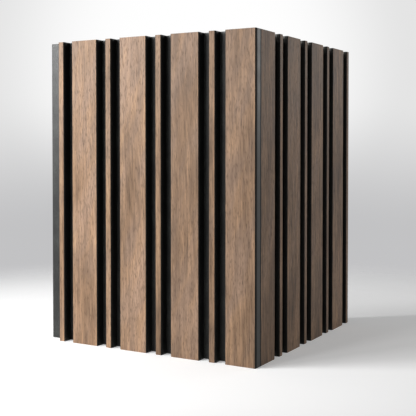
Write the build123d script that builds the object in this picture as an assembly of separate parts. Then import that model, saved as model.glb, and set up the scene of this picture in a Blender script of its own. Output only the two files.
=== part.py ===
from build123d import *
import os

# Slatted wall panel that wraps an outside corner. A left board faces -Y and a right board faces +X.
# Each board is a felt sheet that carries wide and narrow slats by turns. Every slat is a black board
# core with a wood veneer on its face, held from behind by wire staples driven through the felt.
# Millimetres, +Z up. The origin is at the bottom, in the middle of the whole panel's box.

# Slats
wide_slat_width = 40.0
narrow_slat_width = 9.0
slat_gap = 13.0
slat_thickness = 12.0
veneer_thickness = 0.3
edge_bevel = 1.0
slat_pairs = 4
panel_height = 390.0

# Felt backing, which runs past the last narrow slat to meet the next panel
felt_thickness = 9.0
felt_margin = 21.0

# Wire staples, one upright line of them on each slat
staple_rows = 3
staple_crown = 10.0
staple_wire_width = 1.25
staple_wire_thickness = 1.0
staple_bend_radius = 0.9
staple_tip_flat = 0.3
staple_tip_cover = 4.0
staple_clearance = 0.05

# Sizes that follow from the ones above
pair_pitch = wide_slat_width + narrow_slat_width + 2 * slat_gap
slatted_length = slat_pairs * pair_pitch - slat_gap
board_length = slatted_length + felt_margin
board_thickness = slat_thickness + felt_thickness
overall_width = board_length
overall_depth = slat_thickness + board_length
corner_x = overall_width / 2
corner_y = -overall_depth / 2

# Each board is drawn lying along local X from the corner, with its face at local Y = 0.
# The left board is the same make of board stood on its other end, so its local Z runs downwards.
# The right board starts behind the left board's first slat, which laps over its edge, and the two
# felts meet in a mitre, so the wall sees one clean inside corner.
left_board_plane = Plane(origin=(corner_x, corner_y, panel_height), x_dir=(-1, 0, 0), z_dir=(0, 0, -1))
right_board_plane = Plane(origin=(corner_x, corner_y + slat_thickness, 0), x_dir=(0, 1, 0), z_dir=(0, 0, 1))

FRONT_LEFT = (Align.MIN, Align.MIN)


def staple_section():
    """U-shaped side view of one staple: local X is its depth in the board, local Y runs along the crown."""
    reach = board_thickness - veneer_thickness - staple_tip_cover
    inner_reach = reach - staple_wire_thickness
    inner_crown = staple_crown - 2 * staple_wire_thickness
    outer = Rectangle(reach, staple_crown, align=(Align.MAX, Align.CENTER))
    inner = Rectangle(inner_reach, inner_crown, align=(Align.MAX, Align.CENTER))
    section = outer - Pos(-staple_wire_thickness, 0) * inner
    bends = section.vertices().group_by(Axis.X)[-1]
    section = fillet(bends, staple_bend_radius)
    tips = section.vertices().group_by(Axis.X)[0]
    section = chamfer(tips, (staple_wire_thickness - staple_tip_flat) / 2)
    return Pos(board_thickness, 0) * section


def staple_line(centre, clearance=0.0):
    """Staples in a line up the board at the given place along it, or with a clearance the cuts for them."""
    section = staple_section()
    if clearance > 0:
        section = offset(section, clearance, kind=Kind.INTERSECTION)
    wire = extrude(Plane.YZ * section, staple_wire_width / 2 + clearance, both=True)
    row_pitch = panel_height / staple_rows
    return [Pos(centre, 0, (row + 0.5) * row_pitch) * wire for row in range(staple_rows)]


def slat_layers(start, width):
    """Core and veneer of one slat: both come from one section with bevelled front edges."""
    outline = Rectangle(width, slat_thickness, align=FRONT_LEFT)
    section = chamfer(outline.vertices().group_by(Axis.Y)[0], edge_bevel)
    facing = Rectangle(width, veneer_thickness, align=FRONT_LEFT)
    core = extrude(section - facing, panel_height)
    veneer = extrude(section & facing, panel_height)
    return Pos(start) * core, Pos(start) * veneer


def felt_sheet(start):
    """Felt of one board. Its front starts at the given place, and its corner end is mitred at 45 degrees."""
    outline = Polygon(
        (start, slat_thickness),
        (board_length, slat_thickness),
        (board_length, board_thickness),
        (start + felt_thickness, board_thickness),
        align=None,
    )
    return extrude(outline, panel_height)


def build_board(side, felt_start):
    """All the pieces of one board by name. The front of the felt starts at felt_start along the board."""
    pieces = {}
    staples = []
    staple_cuts = []
    for pair in range(slat_pairs):
        wide_start = pair * pair_pitch
        narrow_start = wide_start + wide_slat_width + slat_gap
        for kind, start, width in (
            ("wide", wide_start, wide_slat_width),
            ("narrow", narrow_start, narrow_slat_width),
        ):
            backed_start = max(start, felt_start + felt_thickness)
            backed_middle = (backed_start + start + width) / 2
            cuts = staple_line(backed_middle, staple_clearance)
            core, veneer = slat_layers(start, width)
            pieces[f"{side}_{kind}_slat_{pair + 1}_core"] = core - cuts
            pieces[f"{side}_{kind}_slat_{pair + 1}_veneer"] = veneer
            staples += staple_line(backed_middle)
            staple_cuts += cuts
    pieces[f"{side}_felt_backing"] = felt_sheet(felt_start) - staple_cuts
    pieces[f"{side}_staples"] = Compound([staple.solid() for staple in staples])
    return pieces


os.makedirs("parts", exist_ok=True)
boards = (
    (left_board_plane, build_board("left", felt_start=slat_thickness)),
    (right_board_plane, build_board("right", felt_start=0.0)),
)
for plane, pieces in boards:
    for name, piece in pieces.items():
        export_step(plane * piece, f"parts/{name}.step")
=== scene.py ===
"""Looks of a slatted wall panel that wraps an outside corner.

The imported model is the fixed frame. Slat cores, veneers and staples keep their solids and get a finish.
The two felt sheets are modelled again, with soft cut edges and the dimples that the staples pull into them.
Metres, +Z up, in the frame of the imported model.
"""

import logging
import math
from dataclasses import dataclass, field
from enum import Enum
from typing import Any

import bmesh
import bpy
from mathutils import Matrix, Vector, noise

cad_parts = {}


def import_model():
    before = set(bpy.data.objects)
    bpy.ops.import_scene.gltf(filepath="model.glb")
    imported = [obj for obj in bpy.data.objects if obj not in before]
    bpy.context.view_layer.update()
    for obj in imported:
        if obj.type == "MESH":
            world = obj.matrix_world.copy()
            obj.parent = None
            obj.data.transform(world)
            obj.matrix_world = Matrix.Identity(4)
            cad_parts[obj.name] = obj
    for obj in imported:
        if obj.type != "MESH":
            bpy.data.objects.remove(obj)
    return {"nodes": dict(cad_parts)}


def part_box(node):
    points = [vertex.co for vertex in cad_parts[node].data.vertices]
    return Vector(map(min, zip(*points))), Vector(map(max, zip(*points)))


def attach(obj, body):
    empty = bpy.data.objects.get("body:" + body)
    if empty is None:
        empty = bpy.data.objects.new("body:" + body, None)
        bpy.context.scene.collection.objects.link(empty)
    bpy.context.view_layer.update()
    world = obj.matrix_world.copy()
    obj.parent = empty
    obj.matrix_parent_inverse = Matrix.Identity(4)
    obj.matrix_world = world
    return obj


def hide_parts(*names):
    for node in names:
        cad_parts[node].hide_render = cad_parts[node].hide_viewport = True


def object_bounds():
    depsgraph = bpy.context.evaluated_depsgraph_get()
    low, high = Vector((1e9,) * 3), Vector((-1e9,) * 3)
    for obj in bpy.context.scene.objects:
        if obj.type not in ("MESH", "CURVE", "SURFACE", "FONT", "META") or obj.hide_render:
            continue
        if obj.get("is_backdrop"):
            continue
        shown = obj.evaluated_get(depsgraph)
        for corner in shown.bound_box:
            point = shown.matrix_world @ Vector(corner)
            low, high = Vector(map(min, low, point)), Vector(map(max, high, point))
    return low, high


LOG = logging.getLogger("slatted_corner_panel")
MILLIMETRE = 0.001

# Index of the upright axis
UP = 2

# The one body of the panel
BODY = "root"

Colour = tuple[float, float, float]
Place = tuple[float, float, float]

# Two values between which something fades in
Band = tuple[float, float]


class Side(Enum):
    """The two boards of the panel, by the hand they are on when the corner faces the viewer."""

    LEFT = "left"
    RIGHT = "right"

    @property
    def across(self) -> int:
        """Index of the axis that runs across the slats."""
        return 0 if self is Side.LEFT else 1

    @property
    def inward(self) -> int:
        """Index of the axis that runs into the board from its face."""
        return 1 - self.across

    @property
    def outward_sign(self) -> int:
        """Sign along the across axis that leads away from the corner."""
        return -1 if self is Side.LEFT else 1

    @property
    def wall_sign(self) -> int:
        """Sign along the inward axis that leads from the face to the wall."""
        return 1 if self is Side.LEFT else -1


class SlatKind(Enum):
    """The two widths of slat that take turns along a board."""

    WIDE = "wide"
    NARROW = "narrow"


class Signal:
    """One output socket of a shader graph, with the arithmetic that the finishes are written in."""

    # Share of a width over which its edge fades, to each side
    EDGE_SOFTNESS = 0.1

    def __init__(self, graph: "Graph", socket: bpy.types.NodeSocket | None) -> None:
        """Wrap a socket of a node in the given graph."""
        self.graph = graph
        self.socket = socket

    def __getitem__(self, name: str) -> "Signal":
        """Another output of the same node, by its name."""
        return Signal(self.graph, self.socket.node.outputs[name])

    def math(self, operation: str, *operands: "Signal | float") -> "Signal":
        """Add one Math node.

        Args:
            operation: the Math node's operation.
            operands: its values in order.

        Returns:
            The node's result.
        """
        return self.graph.node("ShaderNodeMath", {"operation": operation}, dict(enumerate(operands)))

    def __add__(self, other: "Signal | float") -> "Signal":
        """This value plus another."""
        return self.math("ADD", self, other)

    def __radd__(self, other: float) -> "Signal":
        """A number plus this value."""
        return self.math("ADD", other, self)

    def __sub__(self, other: "Signal | float") -> "Signal":
        """This value less another."""
        return self.math("SUBTRACT", self, other)

    def __rsub__(self, other: float) -> "Signal":
        """A number less this value."""
        return self.math("SUBTRACT", other, self)

    def __mul__(self, other: "Signal | float") -> "Signal":
        """This value times another."""
        return self.math("MULTIPLY", self, other)

    def __rmul__(self, other: float) -> "Signal":
        """A number times this value."""
        return self.math("MULTIPLY", other, self)

    def absolute(self) -> "Signal":
        """This value without its sign."""
        return self.math("ABSOLUTE", self)

    def maximum(self, other: "Signal") -> "Signal":
        """The larger of this value and another."""
        return self.math("MAXIMUM", self, other)

    def step(self, start: float, end: float) -> "Signal":
        """Smooth step from 0 at start to 1 at end.

        Args:
            start: the value that gives 0.
            end: the value that gives 1, which may be below start.

        Returns:
            The stepped value.
        """
        low, high = sorted((start, end))
        rising = self.graph.node(
            "ShaderNodeMapRange",
            {"interpolation_type": "SMOOTHSTEP"},
            {"Value": self, "From Min": low, "From Max": high},
        )
        return rising if start < end else 1 - rising

    def within(self, width: float) -> "Signal":
        """1 where this value is below a width and 0 past it, with a soft edge."""
        return self.step((1 + self.EDGE_SOFTNESS) * width, (1 - self.EDGE_SOFTNESS) * width)


@dataclass(frozen=True)
class Clouds:
    """One layer of cloud noise.

    Attributes:
        scale: clouds per unit of the vector at which the layer is read.
        detail: octaves of finer clouds.
        rough: strength of the finer clouds.
        stir: how far the clouds are distorted.
    """

    scale: float = 1.0
    detail: float = 2.0
    rough: float = 0.5
    stir: float = 0.0


class Graph:
    """Shader nodes of one material or world, all added through one method."""

    # Places of the colour sockets of a Mix node, whose names are shared by its other kinds of value
    FIRST_COLOUR = 6
    SECOND_COLOUR = 7
    MIXED_COLOUR = 2

    # Middle of a Noise node's value, which runs from 0 to 1
    NOISE_MIDDLE = 0.5

    def __init__(self, owner: bpy.types.Material | bpy.types.World) -> None:
        """Start an empty node tree.

        Args:
            owner: the material or world that the nodes are for.
        """
        owner.use_nodes = True
        self.tree = owner.node_tree
        self.tree.nodes.clear()

    def node(
        self,
        kind: str,
        settings: dict[str, Any] | None = None,
        inputs: dict[str | int, Any] | None = None,
    ) -> Signal:
        """Add one node.

        Args:
            kind: the node's type.
            settings: its own options, which are set first.
            inputs: values or signals by the name or the index of their socket.

        Returns:
            The node's first output.
        """
        node = self.tree.nodes.new(kind)
        for name, value in (settings or {}).items():
            setattr(node, name, value)
        for key, value in (inputs or {}).items():
            socket = node.inputs[key]
            if isinstance(value, Signal):
                self.tree.links.new(value.socket, socket)
            else:
                socket.default_value = value
        return Signal(self, node.outputs[0] if node.outputs else None)

    def position(self) -> Signal:
        """Object coordinates, which are places in the frame."""
        return self.node("ShaderNodeTexCoord")["Object"]

    def axes(self, vector: Signal) -> tuple[Signal, Signal, Signal]:
        """The X, Y and Z of a vector."""
        parts = self.node("ShaderNodeSeparateXYZ", inputs={"Vector": vector})
        return parts["X"], parts["Y"], parts["Z"]

    def vector(self, x: Signal | float, y: Signal | float, z: Signal | float) -> Signal:
        """A vector from three values."""
        return self.node("ShaderNodeCombineXYZ", inputs={"X": x, "Y": y, "Z": z})

    def noise(self, vector: Signal, clouds: Clouds) -> Signal:
        """Cloud noise around zero.

        Args:
            vector: where it is read.
            clouds: the layer of noise.

        Returns:
            Noise from about -0.5 to 0.5.
        """
        inputs = {
            "Vector": vector,
            "Scale": clouds.scale,
            "Detail": clouds.detail,
            "Roughness": clouds.rough,
            "Distortion": clouds.stir,
        }
        return self.node("ShaderNodeTexNoise", inputs=inputs) - self.NOISE_MIDDLE

    def mix(self, factor: Signal, first: Any, second: Any) -> Signal:
        """Mix two colours.

        Args:
            factor: share of the second colour.
            first: the first colour, or a signal of one.
            second: the second colour, or a signal of one.

        Returns:
            The mixed colour.
        """
        inputs = {"Factor": factor, self.FIRST_COLOUR: rgba(first), self.SECOND_COLOUR: rgba(second)}
        mixed = self.node("ShaderNodeMix", {"data_type": "RGBA"}, inputs)
        return Signal(self, mixed.socket.node.outputs[self.MIXED_COLOUR])

    def shade(self, colour: Signal, gain: Signal) -> Signal:
        """A colour made lighter or darker by a gain."""
        return self.node("ShaderNodeVectorMath", {"operation": "SCALE"}, {"Vector": colour, "Scale": gain})

    def bump(self, height: Signal, depth: float, strength: float) -> Signal:
        """Normals of a height field.

        Args:
            height: the field.
            depth: metres to each unit of the field.
            strength: how strongly it tilts the normals.

        Returns:
            The normal.
        """
        inputs = {"Height": height, "Distance": depth, "Strength": strength}
        return self.node("ShaderNodeBump", inputs=inputs)

    def surface(self, sockets: dict[str, Any]) -> None:
        """End the graph in one principled surface with the given sockets."""
        shader = self.node("ShaderNodeBsdfPrincipled", inputs=sockets)
        self.node("ShaderNodeOutputMaterial", inputs={"Surface": shader})


def rgba(colour: Any) -> Any:
    """A colour with full alpha, or the signal of one as it is."""
    return colour if isinstance(colour, Signal) else (*colour, 1.0)


@dataclass(frozen=True)
class Strands:
    """One layer of noise drawn out along the grain.

    Attributes:
        width: size of a strand across the grain.
        length: size of a strand along the grain.
        shift: place of the layer in the noise, so that no two layers match.
        detail: octaves of finer strands.
        rough: strength of the finer strands.
    """

    width: float
    length: float
    shift: float
    detail: float
    rough: float = 0.6

    def read(self, along: Signal, up: Signal, seed: float) -> Signal:
        """Read the layer on one strip of veneer.

        Args:
            along: place along the board, which is across the grain.
            up: place up the board.
            seed: place of the strip in the noise.

        Returns:
            Noise from about -0.5 to 0.5.
        """
        graph = along.graph
        spot = graph.vector(along * (1 / self.width), up * (1 / self.length), seed + self.shift)
        return graph.noise(spot, Clouds(detail=self.detail, rough=self.rough))


@dataclass(frozen=True)
class Cut:
    """How one slat's strip was cut from its sheet of veneer.

    Attributes:
        seed: place of the strip in the noise, so that no two strips match.
        tone: lightness of the strip against the others, partly its own and partly painted light: the left
            board's strips get lighter away from the corner and the right board's strips are darker
            throughout, as if in shade.
        slope: how far the figure leans, as metres across for each metre up.
        greyness: how much of the strip is grey heartwood.
        contrast: strength of its fibres.
        painted_seam_shadow: width beside its corner edge that is painted black with the bevel, as painted
            shadow of the seam where the two boards meet.
    """

    seed: float
    tone: float
    slope: float
    greyness: float
    contrast: float = 1.0
    painted_seam_shadow: float = 0.0


@dataclass(frozen=True)
class VeneerFinish:
    """Matt lacquered walnut veneer with black bevels: tan and grey figure, upright fibres and dark pores.

    Attributes:
        tan: colour of the light wood.
        brown: colour of the warm wood.
        grey: colour of the heartwood.
        pore: colour of the open pores.
        bevel_stain_and_seam_shadow: black of the bevels, and of the painted shadow of the corner seam.
        bevel_band: sideways part of the normal over which a face counts as bevel.
        wander: bends of the grain.
        wander_reach: how far the grain bends to a side.
        grain_lean: how far the grain leans, as metres across for each metre up.
        streaks: bands of colour along the grain.
        fibres: fine light and dark lines.
        figure: slanted waves of heartwood.
        clouds: slow changes over the strip.
        pores: short dark dashes.
        pore_clouding: how far the clouds gather the pores.
        pore_band: noise over which pores open.
        pore_share: how dark an open pore is.
        warm_streaks: how far the streaks turn brown wood tan.
        warm_clouds: how far the clouds turn brown wood tan.
        warm_middle: warmth of even wood.
        warm_band: warmth over which brown wood turns tan.
        grey_figure: how far the figure makes heartwood.
        grey_clouds: how far the clouds make heartwood.
        grey_middle: greyness of an even strip.
        grey_band: greyness over which wood turns to heartwood.
        grey_share: how grey full heartwood is.
        fibre_shade: how far the fibres lighten and darken the wood.
        streak_shade: how far the streaks do.
        cloud_shade: how far the clouds do.
        roughness: roughness of the lacquer.
        fibre_roughness: how far the fibres change it.
        pore_roughness: how much rougher an open pore is.
        fibre_relief: height of the fibres, as a share of the depth.
        pore_relief: depth of the pores, as a share of the depth.
        depth: depth of the grain.
        relief_strength: how strongly the grain tilts the normals.
        gloss: specular level of the lacquer.
    """

    tan: Colour = (0.278, 0.171, 0.100)
    brown: Colour = (0.212, 0.130, 0.078)
    grey: Colour = (0.186, 0.122, 0.084)
    pore: Colour = (0.045, 0.026, 0.015)
    bevel_stain_and_seam_shadow: Colour = (0.0025, 0.0025, 0.0023)
    bevel_band: Band = (0.3, 0.6)
    wander: Clouds = Clouds(scale=4.0, detail=1.0)
    wander_reach: float = 8.0 * MILLIMETRE
    grain_lean: float = 0.02
    streaks: Strands = Strands(width=7.0 * MILLIMETRE, length=220.0 * MILLIMETRE, shift=1.3, detail=2.0)
    fibres: Strands = Strands(width=1.7 * MILLIMETRE, length=30.0 * MILLIMETRE, shift=5.7, detail=3.0)
    figure: Strands = Strands(width=14.0 * MILLIMETRE, length=80.0 * MILLIMETRE, shift=9.1, detail=2.0)
    clouds: Strands = Strands(width=40.0 * MILLIMETRE, length=150.0 * MILLIMETRE, shift=13.9, detail=1.0)
    pores: Strands = Strands(width=1.1 * MILLIMETRE, length=7.0 * MILLIMETRE, shift=17.3, detail=1.0)
    pore_clouding: float = 0.15
    pore_band: Band = (0.03, 0.22)
    pore_share: float = 0.45
    warm_streaks: float = 2.0
    warm_clouds: float = 1.8
    warm_middle: float = 0.5
    warm_band: Band = (0.1, 0.9)
    grey_figure: float = 2.2
    grey_clouds: float = 1.8
    grey_middle: float = 0.5
    grey_band: Band = (-0.35, 0.6)
    grey_share: float = 0.95
    fibre_shade: float = 1.5
    streak_shade: float = 0.5
    cloud_shade: float = 1.2
    roughness: float = 0.47
    fibre_roughness: float = 0.25
    pore_roughness: float = 0.12
    fibre_relief: float = 0.5
    pore_relief: float = 0.5
    depth: float = 0.10 * MILLIMETRE
    relief_strength: float = 0.5
    gloss: float = 0.20

    def material(self, name: str, side: Side, cut: Cut, edge: float) -> bpy.types.Material:
        """Make the material of one slat's veneer.

        Args:
            name: the material's name.
            side: the board that the slat is on.
            cut: how the strip was cut.
            edge: place of the slat's corner edge along the board.

        Returns:
            The material.
        """
        material = bpy.data.materials.new(name)
        graph = Graph(material)
        places = graph.axes(graph.position())
        across = places[side.across]
        up = places[UP]

        # The grain runs up the slat and wanders a little, and the figure leans across it
        wander = graph.noise(graph.vector(cut.seed, 0.0, up), self.wander)
        grain = across + self.wander_reach * wander + self.grain_lean * up
        figured = across - cut.slope * up

        streaks = self.streaks.read(grain, up, cut.seed)
        fibres = self.fibres.read(grain, up, cut.seed)
        figure = self.figure.read(figured, up, cut.seed)
        clouds = self.clouds.read(figured, up, cut.seed)
        pores = self.pores.read(grain, up, cut.seed) + self.pore_clouding * clouds
        pores = pores.step(*self.pore_band)

        # Brown and tan wood, then grey heartwood over it, then the shading of the fibres and the pores
        warm = self.warm_middle + self.warm_streaks * streaks + self.warm_clouds * clouds
        colour = graph.mix(warm.step(*self.warm_band), self.brown, self.tan)
        heart = cut.greyness - self.grey_middle + self.grey_figure * figure + self.grey_clouds * clouds
        colour = graph.mix(heart.step(*self.grey_band) * self.grey_share, colour, self.grey)
        fibre_shade = self.fibre_shade * cut.contrast
        shade = 1 + fibre_shade * fibres + self.streak_shade * streaks + self.cloud_shade * clouds
        # The strip's tone is partly painted light: lighter away from the corner on the left board, darker
        # all over the right board as painted shade
        colour = graph.shade(colour, cut.tone * shade)
        colour = graph.mix(pores * self.pore_share, colour, self.pore)

        # Black bevels, and beside the corner edge of a slat that has one a black strip that is painted
        # shadow of the seam between the boards
        facing = graph.axes(graph.node("ShaderNodeNewGeometry")["True Normal"])
        black = facing[side.across].absolute().step(*self.bevel_band)
        if cut.painted_seam_shadow > 0:
            inset = (across - edge) * side.outward_sign
            black = black.maximum(inset.within(cut.painted_seam_shadow))
        colour = graph.mix(black, colour, self.bevel_stain_and_seam_shadow)

        height = self.fibre_relief * fibres - self.pore_relief * pores
        graph.surface({
            "Base Color": colour,
            "Roughness": self.roughness + self.fibre_roughness * fibres + self.pore_roughness * pores,
            "Normal": graph.bump(height, self.depth, self.relief_strength),
            "Specular IOR Level": self.gloss,
        })
        return material


@dataclass(frozen=True)
class CoreFinish:
    """Satin black dyed fibreboard, with lighter flecks, rougher sawn ends and a matt band beside the face.

    Attributes:
        black: colour of the dyed board.
        fleck: colour of the fibres that took less dye.
        sheen: tint of its gloss.
        sawn_band: upward part of the normal over which a face counts as a sawn end.
        matt_width: width of the matt band beside the face of the slat.
        flecks: fine fibres.
        clouds: slow changes of the pressed board.
        fleck_clouding: how far the clouds gather the flecks.
        fleck_sawing: how far sawing opens more flecks.
        fleck_band: noise over which a fleck shows.
        roughness: roughness of the satin sides.
        sawn_roughness: how much rougher the sawn ends are.
        matt_roughness: how much rougher the matt band is.
        cloud_roughness: how far the clouds change it.
        fleck_roughness: how far the flecks change it.
        depth: height of the flecks.
        relief_strength: how strongly the flecks tilt the normals.
        gloss: specular level of the board.
    """

    black: Colour = (0.0025, 0.0025, 0.0023)
    fleck: Colour = (0.016, 0.015, 0.013)
    sheen: Colour = (1.0, 0.98, 0.91)
    sawn_band: Band = (0.6, 0.9)
    matt_width: float = 4.0 * MILLIMETRE
    flecks: Clouds = Clouds(scale=1900.0, rough=0.7)
    clouds: Clouds = Clouds(scale=60.0, detail=3.0)
    fleck_clouding: float = 0.4
    fleck_sawing: float = 0.10
    fleck_band: Band = (0.06, 0.34)
    roughness: float = 0.36
    sawn_roughness: float = 0.3
    matt_roughness: float = 0.5
    cloud_roughness: float = 0.25
    fleck_roughness: float = 0.15
    depth: float = 0.05 * MILLIMETRE
    relief_strength: float = 0.35
    gloss: float = 0.5

    def material(self, side: Side, front: float) -> bpy.types.Material:
        """Make the material of one board's slat cores.

        Args:
            side: the board that the cores are on.
            front: place of the board's face along its inward axis.

        Returns:
            The material.
        """
        material = bpy.data.materials.new(f"{side.value}_black_fibreboard")
        graph = Graph(material)
        place = graph.position()
        inset = (graph.axes(place)[side.inward] - front) * side.wall_sign
        matt = inset.within(self.matt_width)
        normal = graph.node("ShaderNodeNewGeometry")["Normal"]
        sawn = graph.axes(normal)[UP].absolute().step(*self.sawn_band)

        flecks = graph.noise(place, self.flecks)
        clouds = graph.noise(place, self.clouds)
        pale = flecks + self.fleck_clouding * clouds + self.fleck_sawing * sawn
        satin = self.roughness + self.sawn_roughness * sawn + self.matt_roughness * matt
        graph.surface({
            "Base Color": graph.mix(pale.step(*self.fleck_band), self.black, self.fleck),
            "Roughness": satin + self.cloud_roughness * clouds + self.fleck_roughness * flecks,
            "Normal": graph.bump(flecks, self.depth, self.relief_strength),
            "Specular IOR Level": self.gloss,
            "Specular Tint": rgba(self.sheen),
        })
        return material


@dataclass(frozen=True)
class FeltFinish:
    """Charcoal needle felt: matted fibres, a few of them pale, with a dull sheen where it was pressed.

    Attributes:
        dark: colour of most of the fibres.
        pale: colour of the pale ones.
        sheen: tint of the fuzz.
        matted: tufts of matted fibres.
        hairs: single fibres.
        clouds: slow changes over the sheet.
        pale_matting: how far the tufts turn pale.
        pale_hairs: how far single fibres do.
        pale_clouds: how far the clouds gather the pale fibres.
        pale_band: noise over which fibres turn pale.
        roughness: roughness of the pressed face.
        matted_roughness: how far the tufts change it.
        hair_roughness: how far single fibres change it.
        hair_relief: height of a single fibre, as a share of a tuft's.
        depth: height of the tufts.
        relief_strength: how strongly the fibres tilt the normals.
        gloss: specular level of the pressed face.
        fuzz: weight of the sheen.
        fuzz_roughness: roughness of the sheen.
    """

    dark: Colour = (0.0075, 0.0080, 0.0074)
    pale: Colour = (0.034, 0.036, 0.033)
    sheen: Colour = (0.75, 0.77, 0.76)
    matted: Clouds = Clouds(scale=420.0, detail=4.0, rough=0.7, stir=1.5)
    hairs: Clouds = Clouds(scale=1500.0, rough=0.6, stir=2.5)
    clouds: Clouds = Clouds(scale=35.0)
    pale_matting: float = 1.2
    pale_hairs: float = 0.9
    pale_clouds: float = 0.9
    pale_band: Band = (-0.10, 0.34)
    roughness: float = 0.43
    matted_roughness: float = 0.45
    hair_roughness: float = 0.3
    hair_relief: float = 0.6
    depth: float = 0.35 * MILLIMETRE
    relief_strength: float = 0.5
    gloss: float = 0.42
    fuzz: float = 0.12
    fuzz_roughness: float = 0.45

    def material(self) -> bpy.types.Material:
        """Make the material of both felt sheets.

        Returns:
            The material.
        """
        material = bpy.data.materials.new("charcoal_felt")
        graph = Graph(material)
        place = graph.position()
        matted = graph.noise(place, self.matted)
        hairs = graph.noise(place, self.hairs)
        clouds = graph.noise(place, self.clouds)
        pale = self.pale_matting * matted + self.pale_hairs * hairs + self.pale_clouds * clouds
        height = matted + self.hair_relief * hairs
        graph.surface({
            "Base Color": graph.mix(pale.step(*self.pale_band), self.dark, self.pale),
            "Roughness": self.roughness + self.matted_roughness * matted + self.hair_roughness * hairs,
            "Normal": graph.bump(height, self.depth, self.relief_strength),
            "Specular IOR Level": self.gloss,
            "Sheen Weight": self.fuzz,
            "Sheen Roughness": self.fuzz_roughness,
            "Sheen Tint": rgba(self.sheen),
        })
        return material


@dataclass(frozen=True)
class WireFinish:
    """Bright zinc-coated staple wire with drawn streaks and a little grey bloom.

    Attributes:
        bright: colour of the clean zinc.
        bloom: colour of the dull zinc.
        streaks_across: drawn streaks in each metre across the upright crowns.
        streaks_along: drawn streaks in each metre along them.
        patches: patches of bloom.
        dull_streaks: how far the streaks carry the bloom.
        dull_band: noise over which the zinc turns dull.
        roughness: roughness of the clean zinc.
        dull_roughness: how much rougher the dull zinc is.
        depth: depth of the streaks.
        relief_strength: how strongly the streaks tilt the normals.
    """

    bright: Colour = (0.66, 0.67, 0.69)
    bloom: Colour = (0.40, 0.41, 0.42)
    streaks_across: float = 4000.0
    streaks_along: float = 300.0
    patches: Clouds = Clouds(scale=500.0, detail=3.0)
    dull_streaks: float = 0.5
    dull_band: Band = (-0.15, 0.3)
    roughness: float = 0.28
    dull_roughness: float = 0.25
    depth: float = 0.02 * MILLIMETRE
    relief_strength: float = 0.3

    def material(self) -> bpy.types.Material:
        """Make the material of the staples.

        Returns:
            The material.
        """
        material = bpy.data.materials.new("zinc_wire")
        graph = Graph(material)
        place = graph.position()
        x, y, z = graph.axes(place)
        drawn = graph.vector(x * self.streaks_across, y * self.streaks_across, z * self.streaks_along)
        streaks = graph.noise(drawn, Clouds())
        patches = graph.noise(place, self.patches)
        dull = (self.dull_streaks * streaks + patches).step(*self.dull_band)
        graph.surface({
            "Base Color": graph.mix(dull, self.bright, self.bloom),
            "Metallic": 1.0,
            "Roughness": self.roughness + self.dull_roughness * dull,
            "Normal": graph.bump(streaks, self.depth, self.relief_strength),
        })
        return material


@dataclass(frozen=True)
class FloorFinish:
    """White floor, faintly lit through from below, that fades into the backdrop away from the panel.

    Attributes:
        white: colour of the floor.
        glow: strength of the light through it.
        fade_band: distances from the panel's middle over which the floor fades.
        mottle: unevenness of the fade.
        mottle_reach: how far it moves the fade.
    """

    white: Colour = (0.86, 0.86, 0.86)
    glow: float = 0.32
    fade_band: Band = (0.30, 0.80)
    mottle: Clouds = Clouds(scale=3.0)
    mottle_reach: float = 0.05

    def material(self) -> bpy.types.Material:
        """Make the floor's material.

        Returns:
            The material.
        """
        material = bpy.data.materials.new("white_floor")
        graph = Graph(material)
        place = graph.position()
        reach = graph.node("ShaderNodeVectorMath", {"operation": "LENGTH"}, {"Vector": place})["Value"]
        faded = (reach + self.mottle_reach * graph.noise(place, self.mottle)).step(*self.fade_band)
        floor = graph.node("ShaderNodeBsdfDiffuse", inputs={"Color": rgba(self.white)})
        glow = graph.node("ShaderNodeEmission", inputs={"Color": rgba(self.white), "Strength": self.glow})
        lit = graph.node("ShaderNodeAddShader", inputs={0: floor, 1: glow})
        clear = graph.node("ShaderNodeBsdfTransparent")
        mixed = graph.node("ShaderNodeMixShader", inputs={0: faded, 1: lit, 2: clear})
        graph.node("ShaderNodeOutputMaterial", inputs={"Surface": mixed})
        return material


@dataclass
class Finishes:
    """Finishes that the two boards share. Veneer and core are made for each slat and board."""

    veneer: VeneerFinish = field(default_factory=VeneerFinish)
    core: CoreFinish = field(default_factory=CoreFinish)
    felt: bpy.types.Material = field(default_factory=lambda: FeltFinish().material())
    wire: bpy.types.Material = field(default_factory=lambda: WireFinish().material())


def dress(item: bpy.types.Object, material: bpy.types.Material) -> None:
    """Give an object one material in all its slots."""
    item.data.materials.clear()
    item.data.materials.append(material)


@dataclass
class Slat:
    """One slat: a black core with a veneer on its face, both kept from the frame."""

    side: Side
    kind: SlatKind
    number: int
    cut: Cut

    @property
    def name(self) -> str:
        """The slat's name in the frame."""
        return f"{self.side.value}_{self.kind.value}_slat_{self.number}"

    def span(self) -> tuple[float, float]:
        """Lowest and highest place of the slat along its board."""
        low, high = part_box(f"{self.name}_core")
        return low[self.side.across], high[self.side.across]

    def dress(
        self,
        nodes: dict[str, bpy.types.Object],
        core: bpy.types.Material,
        veneer: VeneerFinish,
    ) -> None:
        """Finish the slat's core and veneer.

        Args:
            nodes: the frame's objects by name.
            core: the material of the board's cores.
            veneer: the finish of the veneers.
        """
        start, end = self.span()
        edge = end if self.side.outward_sign < 0 else start
        dress(nodes[f"{self.name}_core"], core)
        walnut = veneer.material(f"{self.name}_walnut", self.side, self.cut, edge)
        dress(nodes[f"{self.name}_veneer"], walnut)
        LOG.info("dressed %s", self.name)


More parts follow.
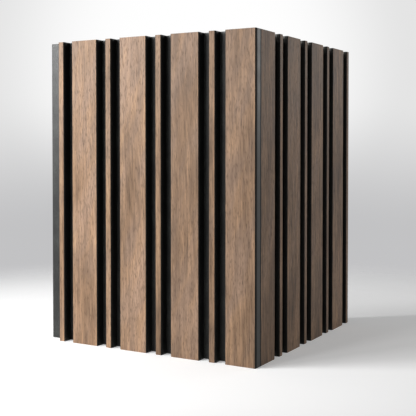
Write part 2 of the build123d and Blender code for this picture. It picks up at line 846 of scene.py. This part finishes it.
@dataclass
class FeltSheet:
    """Felt of one board, mitred at the corner, with soft cut edges and a dimple round every staple.

    Attributes:
        side: the board that the sheet backs.
        staple_places: middles of the staples along the board and up it.
        cell: size of the mesh cells that take the unevenness.
        edge_round: radius of the cut edges.
        edge_segments: facets across a cut edge.
        edge_angle: turn between two faces from which their edge is a cut edge.
        dimple_depth: how far a staple pulls the felt in.
        dimple_reach: how far from the staple the felt is flat again.
        staple_half: half of the length of a staple's upright crown.
        unevenness: how far the pressed faces dip between their high spots.
        waves: dips in each metre.
        wave_fade: how fast the finer dips get weaker.
        wave_ratio: how much finer each octave of dips is.
        wave_octaves: octaves of finer dips.
    """

    side: Side
    staple_places: list[tuple[float, float]]
    cell: float = 3.0 * MILLIMETRE
    edge_round: float = 0.8 * MILLIMETRE
    edge_segments: int = 3
    edge_angle: float = math.radians(30)
    dimple_depth: float = 0.55 * MILLIMETRE
    dimple_reach: float = 7.0 * MILLIMETRE
    staple_half: float = 5.0 * MILLIMETRE
    unevenness: float = 0.12 * MILLIMETRE
    waves: float = 90.0
    wave_fade: float = 1.0
    wave_ratio: float = 2.0
    wave_octaves: int = 3

    @property
    def name(self) -> str:
        """The sheet's name."""
        return f"{self.side.value}_felt_sheet"

    def build(self) -> bpy.types.Object:
        """Model the sheet and set it in place of the frame's plain one.

        Returns:
            The sheet's object.
        """
        node = f"{self.side.value}_felt_backing"
        low, high = (Vector(corner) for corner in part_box(node))
        mesh = bpy.data.meshes.new(self.name)
        shape = bmesh.new()
        self.lay_out(shape, low, high)
        self.soften(shape, low, high)
        shape.to_mesh(mesh)
        shape.free()
        mesh.shade_smooth()
        sheet = bpy.data.objects.new(self.name, mesh)
        bpy.context.scene.collection.objects.link(sheet)
        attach(sheet, BODY)
        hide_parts(node)
        LOG.info("built %s with %d faces", self.name, len(mesh.polygons))
        return sheet

    def lay_out(self, shape: bmesh.types.BMesh, low: Vector, high: Vector) -> None:
        """Make the mitred sheet with rounded edges.

        Args:
            shape: the empty mesh to fill.
            low: lowest corner of the sheet.
            high: highest corner of the sheet.
        """
        across, inward = self.side.across, self.side.inward
        size = high - low

        # The front is a grid one unit across, laid over the sheet's height and its length along the board
        columns = round(size[across] / self.cell)
        rows = round(size.z / self.cell)
        face = bmesh.ops.create_grid(shape, x_segments=columns, y_segments=rows, size=0.5)["verts"]
        front = low[inward] if self.side.wall_sign > 0 else high[inward]
        for vert in face:
            place = Vector()
            place[across] = low[across] + (vert.co.x + 0.5) * size[across]
            place[inward] = front
            place.z = low.z + (vert.co.y + 0.5) * size.z
            vert.co = place

        # The back is shorter by the felt's thickness at the corner end, which makes the mitre
        pushed = bmesh.ops.extrude_face_region(shape, geom=shape.faces[:])["geom"]
        back = [item for item in pushed if isinstance(item, bmesh.types.BMVert)]
        corner = high[across] if self.side.outward_sign < 0 else low[across]
        for vert in back:
            vert.co[inward] += self.side.wall_sign * size[inward]
            far = abs(vert.co[across] - corner) / size[across]
            vert.co[across] += self.side.outward_sign * size[inward] * (1 - far)
        bmesh.ops.recalc_face_normals(shape, faces=shape.faces[:])

        edges = [edge for edge in shape.edges if edge.calc_face_angle(0.0) > self.edge_angle]
        bmesh.ops.bevel(
            shape, geom=edges, offset=self.edge_round, offset_type="OFFSET", segments=self.edge_segments,
            profile=0.5, affect="EDGES", material=-1, clamp_overlap=True,
        )

    def soften(self, shape: bmesh.types.BMesh, low: Vector, high: Vector) -> None:
        """Sink the pressed faces unevenly and pull in the dimples, never out of the sheet.

        Args:
            shape: the sheet.
            low: lowest corner of the sheet.
            high: highest corner of the sheet.
        """
        across, inward = self.side.across, self.side.inward
        middle = (low[inward] + high[inward]) / 2
        pressed = (high[inward] - low[inward]) / 2 - self.edge_round / 2
        wall_face = high[inward] if self.side.wall_sign > 0 else low[inward]
        for vert in shape.verts:
            depth = vert.co[inward] - middle
            if abs(depth) < pressed:
                continue
            spot = vert.co * self.waves
            wave = noise.fractal(spot, self.wave_fade, self.wave_ratio, self.wave_octaves)
            sink = self.unevenness * min(1.0, max(0.0, 0.5 + wave))
            if abs(vert.co[inward] - wall_face) < self.edge_round:
                sink += self.dimple_depth * self.pull(vert.co[across], vert.co.z)
            vert.co[inward] -= math.copysign(sink, depth)

    def pull(self, along: float, up: float) -> float:
        """Share of the dimple depth at a place on the wall face.

        Args:
            along: the place along the board.
            up: the place up the board.

        Returns:
            1 at a staple's crown, falling smoothly to 0 at the dimple's reach.
        """
        strongest = 0.0
        for middle, height in self.staple_places:
            beyond = max(0.0, abs(up - height) - self.staple_half)
            gap = math.hypot(along - middle, beyond)
            if gap < self.dimple_reach:
                strongest = max(strongest, (1 - (gap / self.dimple_reach) ** 2) ** 2)
        return strongest


@dataclass
class Board:
    """One board of the panel: its slats, its felt and its staples.

    Attributes:
        side: the hand that the board is on.
        wide_cuts: veneer of its wide slats, from the corner outwards.
        narrow_cuts: veneer of its narrow slats, from the corner outwards.
        staple_rows: staples behind each slat.
    """

    side: Side
    wide_cuts: tuple[Cut, ...]
    narrow_cuts: tuple[Cut, ...]
    staple_rows: int = 3

    def slats(self) -> list[Slat]:
        """Name the board's slats.

        Returns:
            The slats from the corner outwards.
        """
        found = []
        for number, (wide, narrow) in enumerate(zip(self.wide_cuts, self.narrow_cuts), start=1):
            found.append(Slat(self.side, SlatKind.WIDE, number, wide))
            found.append(Slat(self.side, SlatKind.NARROW, number, narrow))
        return found

    def front(self) -> float:
        """Place of the board's face along its inward axis."""
        low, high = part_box(f"{self.slats()[0].name}_veneer")
        return low[self.side.inward] if self.side.wall_sign > 0 else high[self.side.inward]

    def staple_places(self) -> list[tuple[float, float]]:
        """Work out where the staples are, each behind the part of its slat that the whole felt backs.

        Returns:
            Middles of the staples along the board and up it.
        """
        across, inward = self.side.across, self.side.inward
        low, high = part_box(f"{self.side.value}_felt_backing")
        mitre = high[inward] - low[inward]
        rise = (high[UP] - low[UP]) / self.staple_rows
        places = []
        for slat in self.slats():
            start, end = slat.span()
            if self.side.outward_sign < 0:
                end = min(end, high[across] - mitre)
            else:
                start = max(start, low[across] + mitre)
            middle = (start + end) / 2
            places += [(middle, low[UP] + (row + 0.5) * rise) for row in range(self.staple_rows)]
        return places

    def build(self, nodes: dict[str, bpy.types.Object], finishes: Finishes) -> None:
        """Dress the kept pieces of the board and model its felt.

        Args:
            nodes: the frame's objects by name.
            finishes: the finishes of the panel.
        """
        core = finishes.core.material(self.side, self.front())
        for slat in self.slats():
            slat.dress(nodes, core, finishes.veneer)
        staples = f"{self.side.value}_staples"
        dress(nodes[staples], finishes.wire)
        LOG.info("dressed %s", staples)
        sheet = FeltSheet(self.side, self.staple_places()).build()
        dress(sheet, finishes.felt)


@dataclass
class Floor:
    """Round white floor under the panel."""

    radius: float = 1.3
    segments: int = 64

    def build(self) -> None:
        """Make the floor and mark it as stage."""
        mesh = bpy.data.meshes.new("floor")
        shape = bmesh.new()
        bmesh.ops.create_circle(shape, cap_ends=True, segments=self.segments, radius=self.radius)
        shape.to_mesh(mesh)
        shape.free()
        floor = bpy.data.objects.new("floor", mesh)
        bpy.context.scene.collection.objects.link(floor)
        dress(floor, FloorFinish().material())
        floor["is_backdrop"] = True


@dataclass(frozen=True)
class SoftBox:
    """A square soft studio lamp that looks at one place."""

    name: str
    place: Place
    aim: Place
    width: float
    watts: float

    def build(self) -> None:
        """Hang the lamp."""
        lamp = bpy.data.lights.new(self.name, "AREA")
        lamp.shape = "SQUARE"
        lamp.size = self.width
        lamp.energy = self.watts
        item = bpy.data.objects.new(self.name, lamp)
        towards = Vector(self.aim) - Vector(self.place)
        turn = towards.to_track_quat("-Z", "Y").to_matrix().to_4x4()
        item.matrix_world = Matrix.Translation(self.place) @ turn
        bpy.context.scene.collection.objects.link(item)


@dataclass(frozen=True)
class Studio:
    """Plain pale backdrop and the soft lamps.

    Attributes:
        ground: colour below the horizon.
        backdrop: colour of the wall ahead of the camera.
        glow: colour of the bright patch on it.
        glow_towards: direction of the bright patch.
        glow_band: closeness to that direction over which the patch brightens.
        room: colour of the room behind the camera.
        room_band: part of the direction ahead over which the room turns to backdrop.
        ceiling: colour overhead.
        ceiling_band: upward part of the direction over which the walls turn to ceiling.
        ground_band: upward part of the direction over which the ground turns to wall.
        lamps: the soft lamps.
    """

    ground: Colour = (0.54, 0.54, 0.55)
    backdrop: Colour = (0.78, 0.78, 0.78)
    glow: Colour = (1.0, 1.0, 1.0)
    glow_towards: Place = (-0.505, 0.857, 0.10)
    glow_band: Band = (0.970, 0.998)
    room: Colour = (0.22, 0.22, 0.22)
    room_band: Band = (-0.2, 0.2)
    ceiling: Colour = (0.08, 0.08, 0.08)
    ceiling_band: Band = (0.25, 0.45)
    ground_band: Band = (-0.10, 0.06)
    lamps: tuple[SoftBox, ...] = (
        SoftBox("key", place=(-1.00, -1.00, 0.70), aim=(0.0, -0.1, 0.25), width=0.5, watts=22.3),
        SoftBox("upper", place=(-0.42, -0.93, 1.00), aim=(-0.05, -0.1, 0.25), width=0.22, watts=3.8),
        SoftBox("front", place=(-0.52, -2.06, 0.90), aim=(-0.02, -0.15, 0.22), width=0.4, watts=11.6),
        SoftBox("rim", place=(0.95, 1.35, 0.75), aim=(0.1, 0.0, 0.2), width=0.8, watts=2.9),
    )

    def build(self) -> None:
        """Light the scene."""
        world = bpy.data.worlds.new("studio")
        bpy.context.scene.world = world
        graph = Graph(world)
        direction = graph.node("ShaderNodeTexCoord")["Generated"]
        _, ahead, rise = graph.axes(direction)
        towards = {0: direction, 1: self.glow_towards}
        facing = graph.node("ShaderNodeVectorMath", {"operation": "DOT_PRODUCT"}, towards)["Value"]
        wall = graph.mix(facing.step(*self.glow_band), self.backdrop, self.glow)
        walls = graph.mix(ahead.step(*self.room_band), self.room, wall)
        above = graph.mix(rise.step(*self.ceiling_band), walls, self.ceiling)
        colour = graph.mix(rise.step(*self.ground_band), self.ground, above)
        light = graph.node("ShaderNodeBackground", inputs={"Color": colour})
        graph.node("ShaderNodeOutputWorld", inputs={"Surface": light})
        for lamp in self.lamps:
            lamp.build()
        bpy.context.scene.view_settings.view_transform = "Standard"


@dataclass(frozen=True)
class Viewpoint:
    """Camera at the photograph's angle.

    Attributes:
        from_corner: the camera's place from the foot of the panel's outer corner.
        yaw: turn to the left of straight ahead, in degrees.
        pitch: tilt upwards, in degrees.
        lens: focal length in millimetres.
        sensor: width of the sensor in millimetres.
        drop: vertical shift of the lens, which keeps the panel's uprights upright.
    """

    from_corner: Place = (0.4368, -0.8733, 0.2560)
    yaw: float = 29.76
    pitch: float = -1.40
    lens: float = 74.1
    sensor: float = 36.0
    drop: float = -0.10

    def build(self, corner: Vector) -> None:
        """Set up the camera.

        Args:
            corner: foot of the panel's outer corner.
        """
        data = bpy.data.cameras.new("camera")
        data.sensor_width = self.sensor
        data.lens = self.lens
        data.shift_y = self.drop
        camera = bpy.data.objects.new("camera", data)
        turn = Matrix.Rotation(math.radians(self.yaw), 4, "Z")
        # A camera that isn't turned looks straight down, so 90 degrees bring it level
        tilt = Matrix.Rotation(math.radians(90.0 + self.pitch), 4, "X")
        camera.matrix_world = Matrix.Translation(corner + Vector(self.from_corner)) @ turn @ tilt
        bpy.context.scene.collection.objects.link(camera)
        bpy.context.scene.camera = camera


# Cuts of the veneer strips, from the corner outwards. Their tones are partly painted light: they rise away
# from the corner on the left board, where the light falls off towards the corner, and stay low on the
# shaded right board.
LEFT_WIDE_CUTS = (
    Cut(seed=11.0, tone=1.02, slope=0.25, greyness=0.62),
    Cut(seed=23.0, tone=1.05, slope=0.30, greyness=0.68),
    Cut(seed=37.0, tone=1.25, slope=0.22, greyness=0.66),
    Cut(seed=41.0, tone=1.33, slope=0.28, greyness=0.60),
)
LEFT_NARROW_CUTS = (
    Cut(seed=53.0, tone=0.86, slope=0.10, greyness=0.52),
    Cut(seed=61.0, tone=0.99, slope=0.12, greyness=0.50),
    Cut(seed=73.0, tone=1.12, slope=0.10, greyness=0.45),
    Cut(seed=89.0, tone=1.18, slope=0.12, greyness=0.40),
)
RIGHT_WIDE_CUTS = (
    # The first slat's black strip at the corner is painted shadow of the seam between the boards, 2.4 mm
    # wide
    Cut(seed=97.0, tone=0.85, slope=0.20, greyness=0.42, contrast=1.5, painted_seam_shadow=2.4 * MILLIMETRE),
    Cut(seed=103.0, tone=0.85, slope=0.28, greyness=0.32, contrast=1.7),
    Cut(seed=113.0, tone=0.86, slope=0.22, greyness=0.14, contrast=1.9),
    Cut(seed=127.0, tone=0.84, slope=0.26, greyness=0.08, contrast=2.0),
)
RIGHT_NARROW_CUTS = (
    Cut(seed=131.0, tone=0.86, slope=0.12, greyness=0.45),
    Cut(seed=149.0, tone=0.88, slope=0.10, greyness=0.50),
    Cut(seed=157.0, tone=0.88, slope=0.12, greyness=0.45),
    Cut(seed=163.0, tone=0.90, slope=0.10, greyness=0.45),
)


def main() -> None:
    """Load the frame, then dress and light the panel."""
    logging.basicConfig(level=logging.INFO, format="%(name)s: %(message)s")
    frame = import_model()
    cad_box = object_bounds()
    corner = Vector((cad_box[1][0], cad_box[0][1], cad_box[0][2]))
    Viewpoint().build(corner)
    finishes = Finishes()
    Board(Side.LEFT, LEFT_WIDE_CUTS, LEFT_NARROW_CUTS).build(frame["nodes"], finishes)
    Board(Side.RIGHT, RIGHT_WIDE_CUTS, RIGHT_NARROW_CUTS).build(frame["nodes"], finishes)
    Floor().build()
    Studio().build()


if __name__ == "__main__":
    main()
